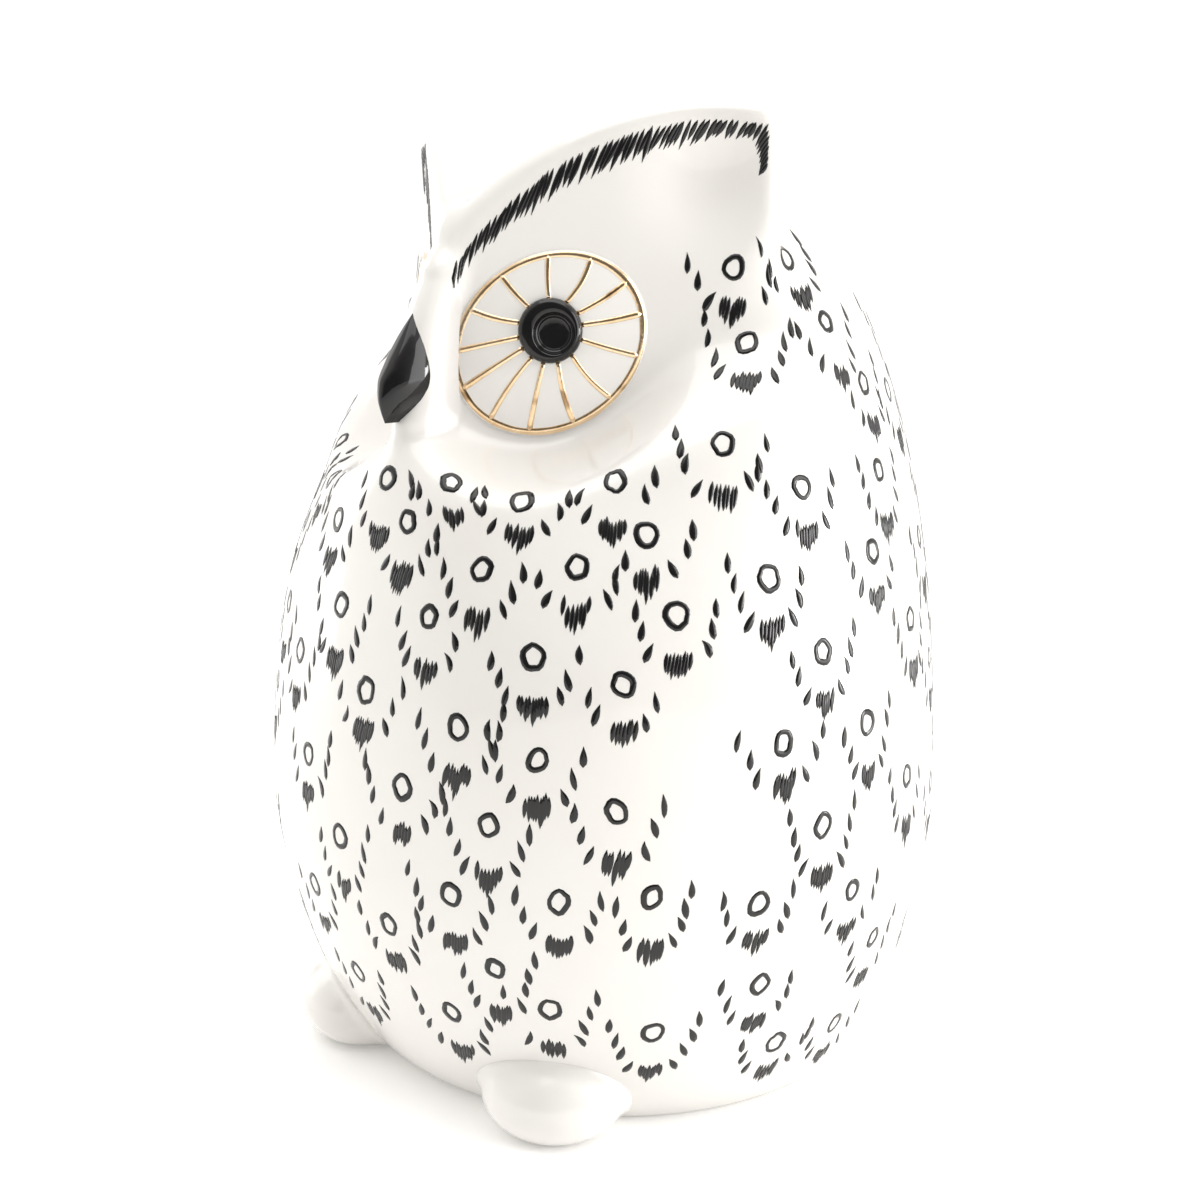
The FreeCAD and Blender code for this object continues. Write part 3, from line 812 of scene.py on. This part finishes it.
def dash(strokes, place, rng, at, angle, length, width):
    """One teardrop dash whose middle is at a place; angle is from upright."""
    t = np.linspace(-0.5, 0.5, DASH_POINTS)
    bend = rng.normal(0.0, 0.05) * length
    line = np.stack([bend * (1 - 4 * t ** 2), -t * length], -1)
    line = turned(line, angle) + np.asarray(at)
    widths = tapered(DASH_POINTS, width, blunt=rng.uniform(0.3, 0.6), peak=rng.uniform(0.5, 0.7))
    strokes.add(place, line, widths)


def ring_stroke(strokes, place, rng, radius):
    """A hand-drawn ring round the middle of a feather."""
    turns = full_turn(RING_POINTS)
    corners = int(rng.integers(3, 6))
    wobble = 1.0 + 0.05 * np.sin(corners * turns + rng.uniform(0, 6.28)) + rng.normal(0.0, 0.022, len(turns))
    loop = np.stack([radius * rng.uniform(0.82, 0.95) * np.cos(turns),
                     radius * rng.uniform(1.0, 1.12) * np.sin(turns)], -1) * wobble[:, None]
    tilt = rng.normal(0.0, 0.25)
    width = rng.uniform(*RING_WIDTH) * (1.0 + 0.16 * np.sin(turns + rng.uniform(0, 6.28)))
    strokes.add(place, turned(loop, tilt), width, closed=True)


def tuft(strokes, place, rng, depth, half):
    """The hatched tip of a feather, under its ring."""
    count = int(rng.integers(*TUFT_STROKES))
    tall = rng.uniform(*TUFT_TALL)
    lean = rng.normal(0.12, 0.06)
    t = np.linspace(0, 1, TUFT_POINTS)
    for i in range(count):
        x = half * (2.0 * (i + 0.5) / count - 1.0) + rng.normal(0, 0.12)
        share = abs(x / half)
        top = -depth + 0.5 * tall + 0.5 * share + rng.normal(0, 0.4)
        low = top - tall * (1.0 - 0.35 * share) * rng.uniform(0.8, 1.1)
        across = x - lean * (top - low) * (t - 0.5) + rng.normal(0, 0.1) * t
        line = np.stack([across, top + (low - top) * t], -1)
        strokes.add(place, line, tapered(TUFT_POINTS, rng.uniform(*TUFT_WIDTH), 0.5, 0.4))


def feather(strokes, place, rng, half_width, depth, tops, ring, busy):
    """A ring, a tuft below it and a curved row of dashes that climbs on either side."""
    ring_stroke(strokes, place, rng, ring)
    tuft_half = rng.uniform(*TUFT_HALF)
    tuft(strokes, place, rng, depth, tuft_half)
    inner = tuft_half + 0.9
    for side, top in zip((-1, 1), tops):
        y = -depth + rng.uniform(2.8, 4.0)
        while y < top:
            climbed = (y + depth) / depth
            x = side * (inner + (half_width - inner) * min(1.3, climbed) ** 0.85)
            at = np.array([x, y]) + rng.normal(0.0, 0.25, 2)
            slope = side * DASH_LEAN * max(0.1, 1.25 - climbed)
            spot = place(at[None, :])[0]
            if np.linalg.norm(busy - spot, axis=1).min() > DASH_ROOM:
                dash(strokes, place, rng, at, slope + rng.normal(0, 0.08), rng.uniform(*DASH_LENGTH),
                     rng.uniform(*DASH_WIDTH))
            y += rng.uniform(*DASH_STEP)


# azimuth (degrees, 0 is the front) and height of the feathers' rings, on the front and on the left side
FRONT_FEATHERS = ((42, 142), (1, 141), (13, 141), (26, 138), (7, 133), (47, 132), (-11, 131),
                  (36, 126), (21, 125), (51, 117), (13, 115), (-6, 114), (30, 109), (43, 104),
                  (-18, 101), (2, 98), (19, 94), (31, 89), (10, 80), (-12, 80), (42, 79), (24, 75),
                  (-3, 65), (47, 61), (34, 60), (18, 59), (-13, 49), (6, 48), (24, 43), (32, 34),
                  (-6, 30), (15, 29), (48, 28))
SIDE_FEATHERS = ((85, 185), (71, 183), (90, 172), (72, 168), (97, 159), (61, 149), (95, 141),
                 (74, 140), (89, 125), (66, 123), (100, 108), (75, 107), (67, 90), (84, 90), (96, 74),
                 (74, 71), (63, 57), (81, 54), (90, 38), (65, 37), (71, 19), (86, 17))
FEATHER_SEED = 11
DASH_ROOM = 4.4             # a dash stays this far from every ring and tuft
TUFT_ROOM = 6.2             # and a tuft this far from every other ring
RIGHT_START = 24            # the right side repeats the places past this azimuth, mirrored
BACK_FEATHERS = (108, 252)  # rows of feathers cover the back between these azimuths
BACK_ROWS = (20.0, 182.0, 15.0)    # heights of the first row and past the last, and the step between rows
BACK_SPACING = 17.5         # distance between the feathers of a row


def feather_sheets(rng):
    """The places of the feathers of each piece."""
    far = [(-azimuth + rng.normal(0, 1.2), height + rng.normal(0, 1.0))
           for azimuth, height in FRONT_FEATHERS + SIDE_FEATHERS if azimuth > RIGHT_START]
    back = []
    first, last = BACK_FEATHERS
    for row, height in enumerate(np.arange(*BACK_ROWS)):
        around = float(egg_radius(height)) * math.radians(last - first)
        count = max(3, int(round(around / BACK_SPACING)))
        shift = 0.25 if row % 2 else 0.75
        for i in range(count):
            azimuth = first + (last - first) * (i + shift) / count
            back.append((azimuth + rng.normal(0, 1.0), height + rng.normal(0, 1.3)))
    return {"feathers_front": FRONT_FEATHERS, "feathers_side_left": SIDE_FEATHERS,
            "feathers_side_right": far, "feathers_back": back}


def hang_tuft(rng, place, height, others):
    """How far a feather's tuft hangs below its ring, and where it is; clear of the other rings."""
    depth = min(rng.uniform(*TUFT_DEPTH), height - TUFT_FLOOR)
    tip = place(np.array([[0.0, -depth]]))[0]
    while depth > TUFT_LEAST and np.linalg.norm(others - tip, axis=1).min() < TUFT_ROOM:
        depth -= TUFT_RAISE
        tip = place(np.array([[0.0, -depth]]))[0]
    return depth, tip


def build_feathers(material):
    rng = np.random.default_rng(FEATHER_SEED)
    for name, spots in feather_sheets(rng).items():
        strokes = Strokes()
        places, rings = zip(*(egg_place(azimuth, height) for azimuth, height in spots))
        rings = np.array(rings)
        hung = [hang_tuft(rng, place, spot[1], np.delete(rings, i, 0))
                for i, (place, spot) in enumerate(zip(places, spots))]
        busy = np.vstack([rings, [tip for _, tip in hung]])
        for place, (depth, _) in zip(places, hung):
            feather(strokes, place, rng, rng.uniform(*FEATHER_HALF), depth, rng.uniform(*FEATHER_TOPS, 2),
                    rng.uniform(*RING_RADIUS), busy)
        make_piece(name, strokes.lay(body_field), strokes.faces, material)


BROW_SEEDS = (5, 6)         # of the left brow and the right one
BROW_ENDS = (146.0, 82.0)   # the brow's strokes run between these angles round the brow arc (degrees)
BROW_STEP = 1.02
BROW_INSET = 4.6            # from the head's edge to the strokes' upper ends
BROW_LENGTH = (4.6, 2.9)    # length at the ends of the brow, and how much is added between
BROW_WIDTH = (0.8, 1.15)
BROW_LEAN = (21.0, 14.0)    # lean from upright, and how much is added at the ear's tip (degrees)
CURL_STROKES = 8            # the strokes that curl down along the ear's outer edge
CURL_LENGTH = (4.2, 5.6)
CURL_WIDTH = (0.9, 1.2)
CURL_LEAN = 34.0
CURL_DROP = 7.5


def build_brow(side, material):
    rng = np.random.default_rng(BROW_SEEDS[side < 0])
    strokes = Strokes()
    place = face_plane(side)
    u, w = BROW_CENTRE
    start, end = BROW_ENDS
    least, more = BROW_LENGTH
    upright, extra = BROW_LEAN
    for degrees in np.arange(start, end, -BROW_STEP):
        share = (start - degrees) / (start - end)
        angle = math.radians(degrees + rng.normal(0, 0.22))
        length = (least + more * math.sin(math.pi * min(1.0, share * 1.15)) ** 0.8) * rng.uniform(0.8, 1.15)
        radius = BROW_RADIUS - BROW_INSET - 0.36 * length
        centre = np.array([u + radius * math.cos(angle), w + radius * math.sin(angle)])
        lean = math.radians(rng.normal(upright, 3.5) + extra * share ** 4)
        width = rng.uniform(*BROW_WIDTH) * (0.8 + 0.35 * float(smoothstep(share / 0.45)))
        strokes.add(place, straight(centre, length, lean), tapered(DASH_POINTS, width, 0.5, 0.5))
    for i in range(CURL_STROKES):
        fall = i / CURL_STROKES
        length = rng.uniform(*CURL_LENGTH) * (1.0 - 0.45 * fall)
        lean = math.radians(rng.normal(CURL_LEAN, 4.0))
        middle = centre + np.array([0.9 + 0.4 * math.sin(math.pi * fall), -0.6 - CURL_DROP * fall])
        widths = tapered(DASH_POINTS, rng.uniform(*CURL_WIDTH), 0.5, 0.5)
        strokes.add(place, straight(middle, length, lean), widths)
    name = side_name(side)
    make_piece("brow_strokes_" + name, strokes.lay(body_field), strokes.faces, material)


WHEEL_SEEDS = (8, 9)        # of the left gold wheel and the right one
GOLD_THICK = 1.5            # times a stroke's usual thickness
RING_FULLER = 1.04          # the gold ring's width, times the plain one
WHEEL_RING_POINTS = 160
SPOKE_POINTS = 12


def as_drawn(flat):
    """Keeps flat coordinates as they are; the wheel is laid on the dome as a whole."""
    return np.column_stack([flat, np.zeros(len(flat))])


def build_wheel(side, material):
    rng = np.random.default_rng(WHEEL_SEEDS[side < 0])
    strokes = Strokes()
    turns = full_turn(WHEEL_RING_POINTS)
    ring_share = EYE_LONG / (EYE_LONG + DOME_MARGIN)
    ring = np.stack(oval_point(ring_share, turns), -1)
    uneven = 1.0 + 0.08 * np.sin(3 * turns + 1.0) + 0.05 * np.sin(11 * turns)
    strokes.add(as_drawn, ring, RING_FULLER * GOLD_WIDTH * uneven, closed=True)
    hub = np.array(PUPIL_PLACE)
    t = np.linspace(0.0, 1.0, SPOKE_POINTS)[:, None]
    for i in range(SPOKES):
        angle = math.radians(SPOKE_START + 360.0 * i / SPOKES) + rng.normal(0, 0.02)
        end = np.array(oval_point(ring_share, angle))
        run = end - hub
        start = hub + run / np.linalg.norm(run) * (PUPIL_RADIUS - 0.3)
        sideways = np.array([-run[1], run[0]]) / np.linalg.norm(run)
        line = start + (end - start) * t + sideways * np.sin(t * math.pi) * rng.normal(0, 0.3)
        strokes.add(as_drawn, line, SPOKE_WIDTH * (0.92 + 0.25 * t[:, 0]) * rng.uniform(0.92, 1.1))
    across, up, _ = np.concatenate(strokes.centres).T
    height = dome_height(across, up) + np.concatenate(strokes.heights) * GOLD_THICK
    faces = strokes.faces if side > 0 else flipped(strokes.faces)
    name = side_name(side)
    make_piece("gold_wheel_" + name, on_face(across, up, height, side), faces, material,
               ["eye_wheel_" + name])


# ---------------------------------------------------------------- stage, light and camera
CAMERA_PLACE = (0.2304, -0.2647, 0.1828)    # metres, like everything on the stage
CAMERA_AZIMUTH = 41.178     # degrees from the front, towards the owl's left
CAMERA_PITCH = 12.734       # degrees down
CAMERA_LENS = 43.99
CAMERA_SENSOR = 36.0
FLOOR_HALF = 3.0
FLOOR_STEPS = 12


def build_stage():
    material, tree, shader = new_material("pale_floor")
    tone = noise(tree, 30.0, 4.0, 0.6, object_coordinates(tree))
    colour = ramp(tree, tone.outputs["Fac"], [(0.3, (0.945, 0.94, 0.93)), (0.7, (0.965, 0.962, 0.955))])
    tree.links.new(colour.outputs["Color"], shader.inputs["Base Color"])
    shader.inputs["Roughness"].default_value = 0.6
    shader.inputs["Emission Color"].default_value = (1.0, 0.99, 0.975, 1.0)
    shader.inputs["Emission Strength"].default_value = 0.14
    marks = [FLOOR_HALF * (2 * i / FLOOR_STEPS - 1) for i in range(FLOOR_STEPS + 1)]
    points = [(x, y, 0.0) for x in marks for y in marks]
    row = len(marks)
    corners = [i * row + j for i in range(FLOOR_STEPS) for j in range(FLOOR_STEPS)]
    faces = [(a, a + row, a + row + 1, a + 1) for a in corners]
    mesh = bpy.data.meshes.new("floor")
    mesh.from_pydata(points, [], faces)
    mesh.materials.append(material)
    floor = bpy.data.objects.new("floor", mesh)
    bpy.context.scene.collection.objects.link(floor)
    floor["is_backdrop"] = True


def soft_light(name, place, target, size, power):
    data = bpy.data.lights.new(name, "AREA")
    data.shape = "RECTANGLE"
    data.size, data.size_y = size
    data.energy = power
    light = bpy.data.objects.new(name, data)
    light.location = place
    aim = Vector(target) - Vector(place)
    light.rotation_mode = "QUATERNION"
    light.rotation_quaternion = aim.to_track_quat("-Z", "Y")
    bpy.context.scene.collection.objects.link(light)


ROOM_BRIGHT = 1.12          # brightness of the white studio, and of the darker room behind the camera
ROOM_DARK = 0.16
ROOM_EDGE = (0.25, 0.85)    # cosines from the camera's side where the dark starts and where it is complete
# name, place, place that it points at, size (m) and power (W)
SOFT_LIGHTS = (("left_box", (-0.75, -0.25, 0.35), (0.0, 0.0, 0.1), (0.4, 0.9), 1.5),
               ("right_box", (0.85, 0.25, 0.4), (0.0, 0.0, 0.1), (0.5, 0.9), 4.0),
               ("right_strip", (0.62, 0.42, 0.08), (0.0, 0.0, 0.15), (0.10, 0.35), 2.2),
               ("top_box", (0.1, -0.1, 1.1), (0.0, 0.0, 0.1), (0.9, 0.9), 4.0))


def build_light():
    world = bpy.data.worlds.new("studio")
    world.use_nodes = True
    tree = world.node_tree
    turn = math.radians(CAMERA_AZIMUTH)
    towards = tree.nodes.new("ShaderNodeVectorMath")
    towards.operation = "DOT_PRODUCT"
    towards.inputs[1].default_value = (math.sin(turn), -math.cos(turn), 0.0)
    tree.links.new(tree.nodes.new("ShaderNodeTexCoord").outputs["Generated"], towards.inputs[0])
    share = tree.nodes.new("ShaderNodeMapRange")
    share.interpolation_type = "SMOOTHSTEP"
    share.inputs["From Min"].default_value = ROOM_EDGE[0]
    share.inputs["From Max"].default_value = ROOM_EDGE[1]
    share.inputs["To Min"].default_value = ROOM_BRIGHT
    share.inputs["To Max"].default_value = ROOM_DARK
    tree.links.new(towards.outputs["Value"], share.inputs["Value"])
    background = tree.nodes["Background"]
    background.inputs["Color"].default_value = (1.0, 0.985, 0.965, 1.0)
    tree.links.new(share.outputs["Result"], background.inputs["Strength"])
    bpy.context.scene.world = world
    for light in SOFT_LIGHTS:
        soft_light(*light)


def build_camera():
    data = bpy.data.cameras.new("camera")
    data.lens = CAMERA_LENS
    data.sensor_width = CAMERA_SENSOR
    camera = bpy.data.objects.new("camera", data)
    turn = math.radians(CAMERA_AZIMUTH)
    pitch = math.radians(CAMERA_PITCH)
    ahead = Vector((-math.sin(turn) * math.cos(pitch), math.cos(turn) * math.cos(pitch), -math.sin(pitch)))
    camera.location = CAMERA_PLACE
    camera.rotation_mode = "QUATERNION"
    camera.rotation_quaternion = ahead.to_track_quat("-Z", "Y")
    bpy.context.scene.collection.objects.link(camera)
    bpy.context.scene.camera = camera


white = white_glaze()
black = black_glaze()
gold = gold_lustre()
build_body(white)
build_beak(black)
for which in (1.0, -1.0):
    build_foot(which, white)
    build_dome(which, white)
    build_pupil(which, black)
    build_wheel(which, gold)
    build_brow(which, black)
build_feathers(black)
build_stage()
build_light()
build_camera()
bpy.context.scene.view_settings.view_transform = "Standard"

[[list(corner) for corner in box] for box in (cad_box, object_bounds())]
